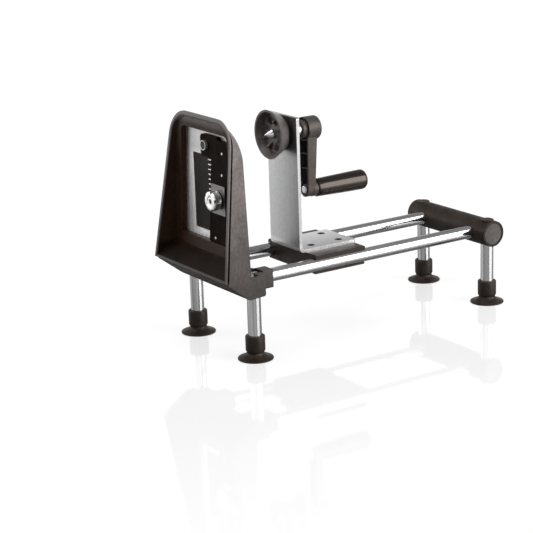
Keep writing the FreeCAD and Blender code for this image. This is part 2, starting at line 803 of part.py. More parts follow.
def slide_block():
    """Moulded block that hangs between the rails, with a groove round the inside of each."""
    web_half = rail_y
    outline = [(-runner_half, block_bottom), (runner_half, block_bottom), (runner_half, rail_z - tube_r / 2),
               (web_half, rail_z), (flange_half, rail_z + tube_r / 2), (flange_half, block_top),
               (-flange_half, block_top), (-flange_half, rail_z + tube_r / 2), (-web_half, rail_z),
               (-runner_half, rail_z - tube_r / 2)]
    block = prism_x(outline, block_x, block_x + block_len)
    grooves = [rod_x(block_x, block_x + block_len, side * rail_y, rail_z, groove_r) for _, side in SIDES]
    clear = groove_r * 2
    for _, side in SIDES:
        y0 = side * rail_y
        y1 = side * (rail_y + clear)
        grooves.append(box(block_x, block_x + block_len, min(y0, y1), max(y0, y1),
                           rail_z - tube_r * 0.9, rail_z + tube_r * 0.9))
    block = block.cut(grooves)
    block = block.makeChamfer(block_edge, [e for e in block.Edges if runs_along(e, "y")
                                           and e.CenterOfMass.z > block_top - 0.01])
    return block.cut([foot_screw(x, y, fit) for x, y in foot_screw_spots()])


def crank_bracket():
    """Bent stainless sheet: an upright plate for the crank and a foot on the slide block."""
    side_view = [(bracket_x, block_top), (bracket_x + foot_len, block_top), (bracket_x + foot_len, foot_top),
                 (bracket_back, foot_top), (bracket_back, bracket_top), (bracket_x, bracket_top)]
    sheet = prism_y(side_view, -bracket_half, bracket_half)
    sheet = rounded(sheet, bracket_bend, lambda e: runs_along(e, "y")
                    and abs(e.CenterOfMass.x - bracket_back) < 0.01 and abs(e.CenterOfMass.z - foot_top) < 0.01)
    sheet = rounded(sheet, bracket_bend + bracket_t, lambda e: runs_along(e, "y")
                    and abs(e.CenterOfMass.x - bracket_x) < 0.01 and e.CenterOfMass.z < block_top + 0.01)
    sheet = rounded(sheet, bracket_corner, lambda e: runs_along(e, "x")
                    and e.CenterOfMass.z > bracket_top - 0.01)
    sheet = rounded(sheet, bracket_corner, lambda e: runs_along(e, "z")
                    and e.CenterOfMass.x > bracket_x + foot_len - 0.01)
    sheet = sheet.cut(rod_x(bracket_x - 1, bracket_back + 1, 0, crank_z, bush_r + fit))
    return sheet.cut([foot_screw(x, y, fit) for x, y in foot_screw_spots()])


def spindle_bush():
    inner = spindle_r + run_fit
    profile = [(flange_x, inner), (flange_x, bush_flange_r), (bracket_x, bush_flange_r), (bracket_x, bush_r),
               (bush_end, bush_r), (bush_end, inner)]
    return turned_x(profile, 0, crank_z)


def bush_nut():
    nut = hexagon_x(bracket_back, bracket_back + bush_nut_t, 0, crank_z, bush_nut_r)
    return nut.cut(rod_x(bracket_back - 1, bracket_back + bush_nut_t + 1, 0, crank_z, bush_r + fit))


# ---------------------------------------------------------------- crank
def spindle():
    """Steel shaft: a centring spike in front, a square for the crank arm behind."""
    tip = wheel_floor - spike_proud - spike_len
    square_end = well_x - pass_gap
    profile = [(tip, 0), (wheel_floor - spike_proud, spindle_r), (square_x, spindle_r), (square_x, 0)]
    shaft = turned_x(profile, 0, crank_z)
    square = box(square_x, square_end, -square_half, square_half, crank_z - square_half, crank_z + square_half)
    square = square.common(rod_x(square_x, square_end, 0, crank_z, spindle_r))
    shaft = shaft.fuse(square)
    hole = rod_x(square_end - hub_screw_len, square_end + 1, 0, crank_z, hub_screw_r + fit)
    cross = rod_z(crank_z - drive_pin_len, crank_z + drive_pin_len, drive_pin_x(), 0, drive_pin_r + fit)
    return shaft.cut([hole, cross])


def drive_pin_x():
    return (wheel_floor + wheel_back) / 2


def drive_pin():
    return rod_z(crank_z - drive_pin_len / 2, crank_z + drive_pin_len / 2, drive_pin_x(), 0, drive_pin_r)


def drive_wheel():
    """Cone-shaped wheel whose prongs grip the end of the vegetable."""
    rim_in = wheel_front_r - wheel_rim
    floor_r = wheel_back_r - wheel_rim + (wheel_front_r - wheel_back_r) * wheel_web / wheel_depth
    profile = [(wheel_floor, 0), (wheel_floor, floor_r), (wheel_front, rim_in), (wheel_front, wheel_front_r),
               (wheel_back, wheel_back_r), (wheel_back, wheel_boss_r),
               (wheel_back + wheel_boss_t, wheel_boss_r), (wheel_back + wheel_boss_t, 0)]
    wheel = turned_x(profile, 0, crank_z)
    root = wheel_floor + wheel_web / 4
    prong = prism_y([(root, crank_z + prong_in), (root, crank_z + prong_out),
                     (wheel_floor, crank_z + prong_out), (wheel_floor - prong_h, crank_z + prong_tip),
                     (wheel_floor, crank_z + prong_in)], -prong_t / 2, prong_t / 2)
    for k in range(prong_count):
        wheel = wheel.fuse(spun_x(prong, 0, crank_z, 360.0 * (k + 0.5) / prong_count))
    bore = rod_x(wheel_front - 1, wheel_back + wheel_boss_t + 1, 0, crank_z, spindle_r + fit)
    cross = rod_z(crank_z - drive_pin_len / 2, crank_z + drive_pin_len / 2, drive_pin_x(), 0, drive_pin_r + fit)
    return wheel.cut([bore, cross])


def arm_outline(inset, x0, x1):
    """Tapered bar below the hub with a round end about the handle axis."""
    top = arm_half_top - inset
    end = arm_half_end - inset
    bar = prism_x([(-end, handle_z), (end, handle_z), (top, crank_z), (-top, crank_z)], x0, x1)
    return bar.fuse(rod_x(x0, x1, 0, handle_z, end))


def crank_arm():
    """Moulded arm, hollow and ribbed on the side that faces the bracket."""
    reach = arm_x + arm_t_top
    side_view = [(arm_x, handle_z - 2 * arm_half_end), (arm_x + arm_t_end, handle_z - 2 * arm_half_end),
                 (arm_x + arm_t_end, handle_z), (reach, crank_z), (arm_x, crank_z)]
    slab = prism_y(side_view, -hub_r, hub_r)
    arm = arm_outline(0, arm_x, reach).common(slab)
    back = slab.copy()
    back.translate(vec(-arm_back, 0, 0))
    hollow = arm_outline(arm_wall, arm_x - arm_back, reach).common(back)
    for drop in rib_drops:
        z = crank_z - drop
        hollow = hollow.cut(box(arm_x + rib_sunk, reach, -hub_r, hub_r, z - rib_t / 2, z + rib_t / 2))
    arm = arm.cut(hollow)
    hub_profile = [(arm_x, 0), (arm_x, hub_r), (hub_back, hub_r), (hub_back, 0)]
    hub = turned_x(hub_profile, 0, crank_z)
    hub = rounded(hub, hub_edge_r, lambda e: len(e.Vertexes) == 1 and abs(e.CenterOfMass.x - hub_back) < 0.01)
    groove_out = hub_nose_r + hub_groove_w
    groove = rod_x(arm_x, arm_x + hub_groove_deep, 0, crank_z, groove_out)
    groove = groove.cut(rod_x(arm_x, arm_x + hub_groove_deep, 0, crank_z, hub_nose_r))
    hub = hub.cut(groove).fuse(rod_x(nose_x, arm_x + 1, 0, crank_z, hub_nose_r))
    boss = rod_x(arm_x + bolt_boss_sunk, rear_boss_x - rear_boss_t, 0, handle_z, bolt_boss_r)
    rear = rod_x(rear_boss_x - rear_boss_t - arm_back / 2, rear_boss_x, 0, handle_z, rear_boss_r)
    arm = arm.fuse([hub, boss, rear])
    square = box(square_x, well_x + 1, -square_half - fit, square_half + fit,
                 crank_z - square_half - fit, crank_z + square_half + fit)
    square = square.common(rod_x(square_x, well_x + 1, 0, crank_z, spindle_r + fit))
    return arm.cut([rod_x(nose_x - 1, square_x, 0, crank_z, spindle_r + fit), square,
                    rod_x(well_x, hub_back + 1, 0, crank_z, hub_well_r),
                    rod_x(arm_x, rear_boss_x + 1, 0, handle_z, bolt_r + fit)])


def hub_washer():
    ring = rod_x(well_x, well_x + hub_washer_t, 0, crank_z, hub_well_r - pass_gap)
    return ring.cut(rod_x(well_x, well_x + hub_washer_t, 0, crank_z, hub_screw_r + fit))


def hub_screw():
    seat = well_x + hub_washer_t
    head = rod_x(seat, seat + hub_screw_head_t, 0, crank_z, hub_screw_head_r)
    head = rounded(head, hub_screw_head_t / 2, lambda e: e.CenterOfMass.x > seat + hub_screw_head_t - 0.01
                   and len(e.Vertexes) == 1)
    shank_tip = well_x - pass_gap - hub_screw_len + 1
    screw = head.fuse(rod_x(shank_tip, seat, 0, crank_z, hub_screw_r))
    return screw.cut(hexagon_x(seat + hub_screw_head_t / 2, seat + hub_screw_head_t + 1, 0, crank_z,
                               hub_screw_r))


def handle_bolt():
    """Steel axle of the grip: its head shows inside the arm, its nut hides in the grip."""
    head_back = arm_x + bolt_boss_sunk
    head = rod_x(head_back - bolt_head_t, head_back, 0, handle_z, bolt_head_r)
    head = rounded(head, bolt_head_t / 3, lambda e: e.CenterOfMass.x < head_back - bolt_head_t + 0.01
                   and len(e.Vertexes) == 1)
    end = grip_well_x + pass_gap + grip_nut_t + 1
    return head.fuse(rod_x(head_back, end, 0, handle_z, bolt_r))


def handle_nut():
    x0 = grip_well_x + pass_gap
    nut = hexagon_x(x0, x0 + grip_nut_t, 0, handle_z, grip_nut_r)
    return nut.cut(rod_x(x0 - 1, x0 + grip_nut_t + 1, 0, handle_z, bolt_r + fit))


def handle_grip():
    profile = [(grip_x, 0), (grip_x, grip_r0 - grip_edge), (grip_x + grip_edge, grip_r0), (grip_end, grip_r1),
               (grip_end, 0)]
    grip = turned_x(profile, 0, handle_z)
    grip = rounded(grip, grip_end_r, lambda e: len(e.Vertexes) == 1 and e.CenterOfMass.x > grip_end - 0.01
                   and e.BoundBox.YLength > grip_r1)
    return grip.cut([rod_x(grip_x - 1, grip_end, 0, handle_z, bolt_r + run_fit),
                     rod_x(grip_well_x, grip_end + 1, 0, handle_z, grip_well_r)])


def grip_plug():
    return rod_x(grip_end - grip_plug_t, grip_end, 0, handle_z, grip_well_r - fit)


# ---------------------------------------------------------------- build every node
def build():
    os.makedirs("parts", exist_ok=True)
    save("blade_housing", blade_housing())
    save("front_tray", front_tray())
    save("slicing_blade", slicing_blade())
    save("comb_blade", comb_blade())
    save("comb_holder", comb_holder())
    save("comb_rivets", *comb_rivets())
    save("coring_tube", coring_tube())
    save("back_screws", *[back_screw(y, z, 0) for y, z in screw_spots()])
    save("clamp_plate", clamp_plate())
    save("clamp_stud", clamp_stud())
    save("knob_washer", knob_washer())
    save("clamp_knob", clamp_knob())
    for name, side in SIDES:
        y = side * leg_y
        save("rail_" + name, rail(side))
        save("front_leg_" + name, upright_tube(front_leg_x, y, sleeve_floor, pocket_floor - leg_socket_skin))
        save("rear_leg_" + name, upright_tube(rear_leg_x, y, sleeve_floor, rear_leg_top))
        save("front_foot_" + name, suction_foot(front_leg_x, y))
        save("rear_foot_" + name, suction_foot(rear_leg_x, y))
    save("rail_pins", *[rail_pin(x, y) for x, y in pin_spots()])
    save("rear_crossbar", rear_crossbar())
    save("crossbar_end_caps", *[bar_end_cap(side) for _, side in SIDES])
    save("leg_top_caps", *[leg_top_cap(side) for _, side in SIDES])
    save("slide_block", slide_block())
    save("crank_bracket", crank_bracket())
    save("bracket_screws", *[bracket_screw(x, y) for x, y in foot_screw_spots()])
    save("spindle_bush", spindle_bush())
    save("bush_nut", bush_nut())
    save("spindle", spindle())
    save("drive_wheel", drive_wheel())
    save("drive_pin", drive_pin())
    save("crank_arm", crank_arm())
    save("hub_washer", hub_washer())
    save("hub_screw", hub_screw())
    save("handle_bolt", handle_bolt())
    save("handle_nut", handle_nut())
    save("handle_grip", handle_grip())
    save("grip_plug", grip_plug())


build()
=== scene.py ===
# %% [markdown]
# # A hand-cranked spiralizer, from bare solids to a lit studio picture
# The machine has a black housing that holds the blades, two polished rails, and a
# carriage that slides along them and turns the vegetable with a crank. Its solids
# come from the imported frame. This lesson gives each of them a finish that is built
# from nodes, models anew the few pieces that need softer forms than the solids
# have, and then sets up the table, the light and the camera.

# %% Load the frame
import math

import bpy
from mathutils import Matrix, Vector


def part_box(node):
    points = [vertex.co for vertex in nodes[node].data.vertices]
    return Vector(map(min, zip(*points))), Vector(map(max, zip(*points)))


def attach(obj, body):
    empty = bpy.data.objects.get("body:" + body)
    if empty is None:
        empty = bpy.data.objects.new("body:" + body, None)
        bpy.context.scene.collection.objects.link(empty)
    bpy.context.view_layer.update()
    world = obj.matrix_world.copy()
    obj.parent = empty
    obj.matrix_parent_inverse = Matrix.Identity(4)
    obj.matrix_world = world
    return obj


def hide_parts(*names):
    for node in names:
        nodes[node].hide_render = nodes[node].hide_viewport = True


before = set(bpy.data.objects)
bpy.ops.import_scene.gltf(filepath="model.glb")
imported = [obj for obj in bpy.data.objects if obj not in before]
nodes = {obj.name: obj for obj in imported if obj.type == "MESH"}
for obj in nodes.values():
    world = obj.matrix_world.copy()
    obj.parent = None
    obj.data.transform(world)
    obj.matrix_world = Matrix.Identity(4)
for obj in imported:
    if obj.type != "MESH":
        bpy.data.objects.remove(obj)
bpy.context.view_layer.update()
bpy.ops.object.select_all(action="DESELECT")
print("solids in the frame:", len(nodes))

# %% [markdown]
# ## A small vocabulary for materials
# Every finish below starts from the Principled shader and a pattern in Object
# coordinates. Those are metres on this object, so a noise with a scale of 1000 has
# features of about a millimetre. The nodes could be wired by hand in the shader
# editor, but the same few steps come back in every finish, so each step is a small
# helper. The noise has its own scale for each axis, because a noise that is drawn
# out along one axis is what brushing does to steel.

# %% Nodes and noise
def add_node(tree, kind, **sockets):
    """Makes a node and fills its sockets. An underscore stands for a space in a socket's name."""
    node = tree.nodes.new("ShaderNode" + kind)
    for socket, value in sockets.items():
        node.inputs[socket.replace("_", " ")].default_value = value
    return node


def calculated(tree, kind, operation, *terms):
    """Makes a Math or VectorMath node. Its terms are outputs of other nodes, or plain values."""
    node = add_node(tree, kind)
    node.operation = operation
    for socket, term in zip(node.inputs, terms):
        if isinstance(term, bpy.types.NodeSocket):
            tree.links.new(term, socket)
        else:
            socket.default_value = term
    return node


def stretched_noise(tree, scale, detail=3.0):
    """Noise with its own scale along X, Y and Z: a low scale draws it out."""
    place = add_node(tree, "TexCoord")
    mapping = add_node(tree, "Mapping", Scale=scale)
    noise = add_node(tree, "TexNoise", Scale=1.0, Detail=detail)
    tree.links.new(place.outputs["Object"], mapping.inputs["Vector"])
    tree.links.new(mapping.outputs["Vector"], noise.inputs["Vector"])
    return noise.outputs["Fac"]


print("helpers for nodes and noise are ready")

# %% A new finish
finishes = {}


def new_finish(name, metallic, roughness):
    """Starts a material among the finishes, and returns its tree and its Principled shader."""
    material = bpy.data.materials.new(name)
    material.use_nodes = True
    finishes[name] = material
    tree = material.node_tree
    shader = tree.nodes["Principled BSDF"]
    shader.inputs["Metallic"].default_value = metallic
    shader.inputs["Roughness"].default_value = roughness
    return tree, shader


print("finishes at the start:", len(finishes))

# %% [markdown]
# ## From a pattern to a tone
# A noise gives numbers from nothing to one, and most of them lie near the middle.
# They have to be spread out before they are of use as a roughness or a tone. A
# tone can then be made stronger or weaker along an axis, where a surface gets more
# or less of the light, and broken up by specks of a few millimetres.

# %% Tones
MOST_NOISE = (0.3, 0.7)


def in_range(tree, source, low, high, start=MOST_NOISE[0], end=MOST_NOISE[1]):
    """Spreads what lies between start and end from low to high, and goes no further."""
    spread = add_node(tree, "MapRange", From_Min=start, From_Max=end, To_Min=low, To_Max=high)
    tree.links.new(source, spread.inputs["Value"])
    return spread.outputs["Result"]


def between(tree, source, dark, light):
    """Colours a noise from one tone to another."""
    ramp = add_node(tree, "ValToRGB")
    for stop, place, tone in zip(ramp.color_ramp.elements, MOST_NOISE, (dark, light)):
        stop.position = place
        stop.color = (*tone, 1.0)
    tree.links.new(source, ramp.inputs["Fac"])
    return ramp.outputs["Color"]


def strengthened(tree, colour, share):
    """Makes a colour as strong as a share says, one being as it is."""
    scaled = calculated(tree, "VectorMath", "SCALE", colour)
    tree.links.new(share, scaled.inputs["Scale"])
    return scaled.outputs["Vector"]


def graded(tree, colour, axis, start, end, first, last):
    """Strengthens a colour evenly from one place along an axis to another."""
    place = add_node(tree, "TexCoord")
    parts = add_node(tree, "SeparateXYZ")
    tree.links.new(place.outputs["Object"], parts.inputs[0])
    return strengthened(tree, colour, in_range(tree, parts.outputs[axis], first, last, start, end))


def speckled(tree, colour, size_mm, amount):
    """Varies a tone by a share of it, in specks of a few millimetres."""
    specks = stretched_noise(tree, (1000.0 / size_mm,) * 3)
    return strengthened(tree, colour, in_range(tree, specks, 1.0 - amount, 1.0 + amount))


print("helpers for tones are ready")

# %% [markdown]
# ## Relief and worn edges
# No moulding or metal piece has edges as sharp as a bare solid's. Cutting a round
# on every edge would multiply the faces. The Bevel node only turns the shading near
# an edge, which is enough for edges that are worn by a few tenths of a millimetre.
# The pattern's own relief is laid on top of it.

# %% Relief
EDGE_SAMPLES = 4


def relief(tree, shader, source, height, edge):
    """Bumps the surface by a pattern, on top of edges worn round by a small radius."""
    bump = add_node(tree, "Bump", Strength=1.0, Distance=height)
    worn = add_node(tree, "Bevel", Radius=edge)
    worn.samples = EDGE_SAMPLES
    tree.links.new(source, bump.inputs["Height"])
    tree.links.new(worn.outputs["Normal"], bump.inputs["Normal"])
    tree.links.new(bump.outputs["Normal"], shader.inputs["Normal"])


print("edges are sampled", EDGE_SAMPLES, "times")

# %% [markdown]
# ## Moulded black plastic
# Black mouldings are never one flat black. The tool leaves a fine texture that
# breaks up the highlight, the melt cools unevenly, so the gloss wanders over
# centimetres, and handling leaves specks in the tone. A painted picture of all this
# would have to be laid out on every solid. Noise in the solid's own space needs no
# layout, so each of these traits gets a noise of its own size.

# %% Moulded plastic
WARM_SHINE = (1.0, 0.87, 0.79, 1.0)
CLOUDS = (38.0, 38.0, 30.0)
GLOSS_WANDER = (70.0, 70.0, 55.0)
SPECK_MM = 3.2
SPECK_SHARE = 0.24
PLASTIC_EDGE = 0.0004
GLOSSIER, DULLER = 0.06, 0.08


def moulded(name, dark, light, rough, shine, grain_mm, grain_height=0.00002, grades=()):
    """Plastic between two tones. A grade is an axis, two places on it and the strength at both."""
    tree, shader = new_finish(name, 0.0, rough)
    shader.inputs["Specular IOR Level"].default_value = shine
    shader.inputs["Specular Tint"].default_value = WARM_SHINE
    cloud = stretched_noise(tree, CLOUDS, 5.0)
    tone = speckled(tree, between(tree, cloud, dark, light), SPECK_MM, SPECK_SHARE)
    for grade in grades:
        tone = graded(tree, tone, *grade)
    tree.links.new(tone, shader.inputs["Base Color"])
    wander = stretched_noise(tree, GLOSS_WANDER, 4.0)
    tree.links.new(in_range(tree, wander, rough - GLOSSIER, rough + DULLER), shader.inputs["Roughness"])
    grain = stretched_noise(tree, (1000.0 / grain_mm,) * 3, 2.0)
    relief(tree, shader, grain, grain_height, PLASTIC_EDGE)


print("specks are", SPECK_MM, "mm, worn edges", PLASTIC_EDGE * 1000.0, "mm")

# %% Housing, tray and blade carrier
# Painted light and shade: both are black plastic, but the casing, whose wall faces the side box, gets a
# paler base than the tray in the mouth and grows paler towards its top; the tray darkens below 0.1 m,
# painted shade at its foot.
moulded("casing_black", (0.07, 0.062, 0.06), (0.122, 0.112, 0.108), rough=0.5, shine=0.24,
        grain_mm=0.5, grain_height=0.00003, grades=[("Z", 0.068, 0.21, 0.34, 1.68)])
moulded("tray_black", (0.022, 0.01, 0.0055), (0.04, 0.021, 0.013), rough=0.42, shine=0.14,
        grain_mm=0.45, grades=[("Z", 0.1, 0.106, 0.3, 1.0)])
moulded("holder_black", (0.004, 0.0018, 0.001), (0.01, 0.005, 0.003), rough=0.55, shine=0.04, grain_mm=0.4)
print("mouldings of the front:", ", ".join(finishes))

# %% Carriage, crossbar and crank
moulded("block_black", (0.007, 0.003, 0.0015), (0.015, 0.009, 0.006), rough=0.42, shine=0.26, grain_mm=0.5)
moulded("bar_black", (0.016, 0.01, 0.0075), (0.036, 0.026, 0.021), rough=0.5, shine=0.2, grain_mm=0.35)
# Painted light: the end caps are black plastic like the bar, but get a paler base because they face the
# side box.
moulded("cap_black_painted_light", (0.052, 0.047, 0.044), (0.088, 0.081, 0.077), rough=0.5, shine=0.35, grain_mm=0.6)
moulded("wheel_black", (0.062, 0.055, 0.053), (0.108, 0.098, 0.095), rough=0.4, shine=0.5,
        grain_mm=0.5, grain_height=0.00001)
moulded("arm_black", (0.03, 0.025, 0.023), (0.054, 0.047, 0.0435), rough=0.46, shine=0.4, grain_mm=0.5)
print("moulded finishes so far:", len(finishes))

# %% [markdown]
# ## Painted shade and painted light
# Two mouldings are not the same all over. Behind the blade plate the casing gets a
# nearly black tone, painted shade for the hollow there. The tray's rim gets a paler
# grey, a painted highlight, and so does the underside of its roof, painted light.
# Separate pieces would need seams where the real moulding has none. So a second tone
# is laid over the first, with a share that is worked out from the place: one side of
# a plane, or the inside of a box.

# %% Shares that depend on the place
BOX_FADE = 0.98


def along_plane(tree, normal, start, end):
    """One at the start and nothing at the end, measured along a direction."""
    place = add_node(tree, "TexCoord")
    way = calculated(tree, "VectorMath", "DOT_PRODUCT", place.outputs["Object"], normal)
    return in_range(tree, way.outputs["Value"], 1.0, 0.0, start, end)


def within_box(tree, low, high):
    """One inside a box in metres, nothing outside it."""
    middle = [(a + b) / 2 for a, b in zip(low, high)]
    half = [(b - a) / 2 for a, b in zip(low, high)]
    place = add_node(tree, "TexCoord")
    moved = calculated(tree, "VectorMath", "SUBTRACT", place.outputs["Object"], middle)
    folded = calculated(tree, "VectorMath", "ABSOLUTE", moved.outputs["Vector"])
    sized = calculated(tree, "VectorMath", "DIVIDE", folded.outputs["Vector"], half)
    parts = add_node(tree, "SeparateXYZ")
    tree.links.new(sized.outputs["Vector"], parts.inputs[0])
    wider = calculated(tree, "Math", "MAXIMUM", parts.outputs["X"], parts.outputs["Y"])
    furthest = calculated(tree, "Math", "MAXIMUM", wider.outputs[0], parts.outputs["Z"])
    return in_range(tree, furthest.outputs[0], 1.0, 0.0, BOX_FADE, 1.0)


print("a share can follow a plane or a box")

# %% Where these places are
# The hollow goes from just before the plate's face to behind it. It is narrower than
# the plate, and starts a little lower.
plate_low, plate_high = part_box("slicing_blade")
HOLLOW_LOW = (plate_low[0] - 0.0045, plate_low[1] + 0.0117, plate_low[2] - 0.006)
HOLLOW_HIGH = (plate_low[0] + 0.0015, plate_high[1] - 0.0097, plate_high[2] - 0.0023)

tray_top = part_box("front_tray")[1][2]
ROOF_PALE = tray_top - 0.004
ROOF_DARK = tray_top - 0.013

# The tray's front face leans back: on it, x is RIM_FRONT plus RIM_SLANT times z.
RIM_SLANT = 0.1345
RIM_FRONT = -0.1914
RIM_DEPTH = 0.0005
RIM_FOOT, RIM_SHOULDER = 0.095, 0.19
print("the hollow behind the plate is %.0f mm wide" % (1000.0 * (HOLLOW_HIGH[1] - HOLLOW_LOW[1])))

# %% Tones laid over
def lay_over(finish, share_of, other):
    """Lays another tone over a finished material, by a share of the place."""
    tree = finishes[finish].node_tree
    base = tree.nodes["Principled BSDF"].inputs["Base Color"]
    both = add_node(tree, "Mix")
    both.data_type = "RGBA"
    share, colour, second = both.inputs[0], both.inputs[6], both.inputs[7]
    second.default_value = (*other, 1.0)
    tree.links.new(base.links[0].from_socket, colour)
    tree.links.new(share_of(tree), share)
    tree.links.new(both.outputs[2], base)


def behind_plate(tree):
    return within_box(tree, HOLLOW_LOW, HOLLOW_HIGH)


def roof(tree):
    return along_plane(tree, (0.0, 0.0, -1.0), -ROOF_PALE, -ROOF_DARK)


def rim(tree):
    """The leaning front face, with a painted highlight that grows towards its top."""
    front = along_plane(tree, (1.0, 0.0, -RIM_SLANT), RIM_FRONT, RIM_FRONT + RIM_DEPTH)
    return graded(tree, front, "Z", RIM_FOOT, RIM_SHOULDER, 0.4, 1.0)


# Painted shade: a near-black tone in the hollow behind the blade plate.
lay_over("casing_black", behind_plate, (0.006, 0.0045, 0.004))
# Painted light: a pale grey on the underside of the tray's roof.
lay_over("tray_black", roof, (0.26, 0.245, 0.24))
# Painted highlight: a pale grey on the rim's front face, stronger towards its top.
lay_over("tray_black", rim, (0.2, 0.19, 0.185))
print("places laid over: behind the plate, roof and rim")

# %% [markdown]
# ## Polished grip
# The grip is turned and polished, so it mirrors the lamps as long streaks. A plain
# glossy black would do from afar, but its streaks look drawn with a ruler. A little
# unevenness in the roughness, and fine scuffs that run lengthways, keep them alive.

# %% Polished grip
GRIP_CLOUDS = (45.0, 90.0, 90.0)
GRIP_SCUFFS = (150.0, 900.0, 900.0)


def polished_black():
    tree, shader = new_finish("grip_gloss", 0.0, 0.13)
    shader.inputs["Specular IOR Level"].default_value = 0.42
    shader.inputs["Specular Tint"].default_value = WARM_SHINE
    cloud = stretched_noise(tree, GRIP_CLOUDS, 4.0)
    tone = between(tree, cloud, (0.008, 0.005, 0.004), (0.014, 0.01, 0.0085))
    tree.links.new(tone, shader.inputs["Base Color"])
    tree.links.new(in_range(tree, cloud, 0.09, 0.17), shader.inputs["Roughness"])
    scuff = stretched_noise(tree, GRIP_SCUFFS)
    relief(tree, shader, scuff, height=0.000006, edge=0.0005)


polished_black()
print("finishes with the grip's:", len(finishes))

# %% [markdown]
# ## Steel, three ways
# The tubes are drawn and polished, so their faint lines run lengthways. The sheet
# is brushed one way before it is cut. Screws and pins are turned and only bright,
# but for the screws in the carriage's foot and the stud in the knob, which are
# painted black all over: painted shade for their dark sockets and holes.
# Anisotropic gloss could stand for the lines, but it shows none of them close up. So
# the same recipe serves all three: noise that is drawn out along the direction of
# the work, feeding tone, roughness and a very low relief.

# %% Worked steel
TUBE_ALONG_X = (4.0, 480.0, 480.0)
TUBE_ALONG_Z = (480.0, 480.0, 4.0)
BRUSHED_ALONG_Y = (1500.0, 6.0, 1500.0)
BRUSHED_ALONG_Z = (1500.0, 1500.0, 6.0)
TURNED = (900.0, 900.0, 900.0)
STEEL_SPECK_MM = 3.0


def worked_steel(name, lines, dark, light, rough, spread, height, grades=(), specks=0.0, edge=0.0002):
    """Steel whose roughness wanders by the spread. Its grades are written as a moulding's."""
    tree, shader = new_finish(name, 1.0, rough)
    marks = stretched_noise(tree, lines, 4.0)
    tone = speckled(tree, between(tree, marks, dark, light), STEEL_SPECK_MM, specks)
    for grade in grades:
        tone = graded(tree, tone, *grade)
    tree.links.new(tone, shader.inputs["Base Color"])
    tree.links.new(in_range(tree, marks, rough - spread, rough + spread), shader.inputs["Roughness"])
    relief(tree, shader, marks, height, edge)


print("worked steel is ready")

# %% Tubes and sheets
worked_steel("rail_steel", TUBE_ALONG_X, (0.4, 0.4, 0.405), (0.8, 0.8, 0.8), rough=0.13,
             spread=0.03, height=0.000004)
worked_steel("leg_steel", TUBE_ALONG_Z, (0.36, 0.36, 0.365), (0.82, 0.82, 0.82), rough=0.13,
             spread=0.03, height=0.000004)
# Painted light: the bracket is darker towards -Y and paler towards +Y, and 1.4 times brighter on its foot
# below 0.088 m, a painted highlight on the upward face, while the upright above 0.1 m is dimmed to 0.8.
worked_steel("bracket_steel", BRUSHED_ALONG_Z, (0.56, 0.56, 0.565), (0.69, 0.69, 0.692), rough=0.32,
             spread=0.05, height=0.000008, specks=0.06,
             grades=[("Y", -0.027, 0.027, 0.54, 1.1), ("Z", 0.088, 0.1, 1.4, 0.8)])
# Painted shade: the blade plate is dimmed to 0.69 above 0.206 m.
worked_steel("blade_steel", BRUSHED_ALONG_Z, (0.76, 0.75, 0.75), (0.92, 0.91, 0.91), rough=0.45,
             spread=0.05, height=0.000006, specks=0.08, grades=[("Z", 0.192, 0.206, 1.0, 0.69)])
# Painted shade: the clamp plate and the knob's washer get a dark base, standing in for the dark side of
# the room that they mirror.
worked_steel("clamp_steel", BRUSHED_ALONG_Y, (0.14, 0.135, 0.13), (0.26, 0.25, 0.245), rough=0.36,
             spread=0.06, height=0.000006)
print("finishes with the tubes' and sheets':", len(finishes))

# %% Turned pieces
worked_steel("fastener_steel", TURNED, (0.6, 0.6, 0.605), (0.74, 0.74, 0.74), rough=0.24,
             spread=0.05, height=0.000003)
worked_steel("nickel", TURNED, (0.94, 0.94, 0.935), (1.0, 1.0, 0.995), rough=0.42,
             spread=0.05, height=0.000002, edge=0.0003)
# Painted shade: the bracket screws and the clamp stud are black all over, standing in for the shade in
# their sockets and holes.
worked_steel("black_painted_shade", TURNED, (0.008, 0.007, 0.0065), (0.02, 0.018, 0.017), rough=0.5,
             spread=0.05, height=0.000003)
print("finishes with the turned pieces':", len(finishes))

# %% [markdown]
# ## Rubber
# The suction feet are soft rubber: dull, slightly dusty, with a weak sheen at
# grazing angles. The dust could be a second layer over the rubber, but it is so
# thin that a noise in tone and roughness is enough, and the shader's own sheen
# gives the pale edge.

# %% Rubber
DUST = (160.0, 160.0, 160.0)
RUBBER_GRAIN = (2500.0, 2500.0, 2500.0)


def foot_rubber():
    tree, shader = new_finish("foot_rubber", 0.0, 0.5)
    shader.inputs["Specular IOR Level"].default_value = 0.28
    shader.inputs["Specular Tint"].default_value = WARM_SHINE
    shader.inputs["Sheen Weight"].default_value = 0.06
    shader.inputs["Sheen Roughness"].default_value = 0.4
    dust = stretched_noise(tree, DUST, 6.0)
    tone = between(tree, dust, (0.008, 0.005, 0.0035), (0.022, 0.015, 0.0115))
    tree.links.new(tone, shader.inputs["Base Color"])
    tree.links.new(in_range(tree, dust, 0.4, 0.6), shader.inputs["Roughness"])
    grain = stretched_noise(tree, RUBBER_GRAIN, 2.0)
    relief(tree, shader, grain, height=0.00001, edge=0.0004)


foot_rubber()
print("finishes in all:", len(finishes))

# %% [markdown]
# ## Each solid gets its finish
# A solid from the frame keeps its mesh as it is. Only its material slot is filled,
# so the picture and the solids can't drift apart. One list says which pieces are
# made of what, as a parts list does.

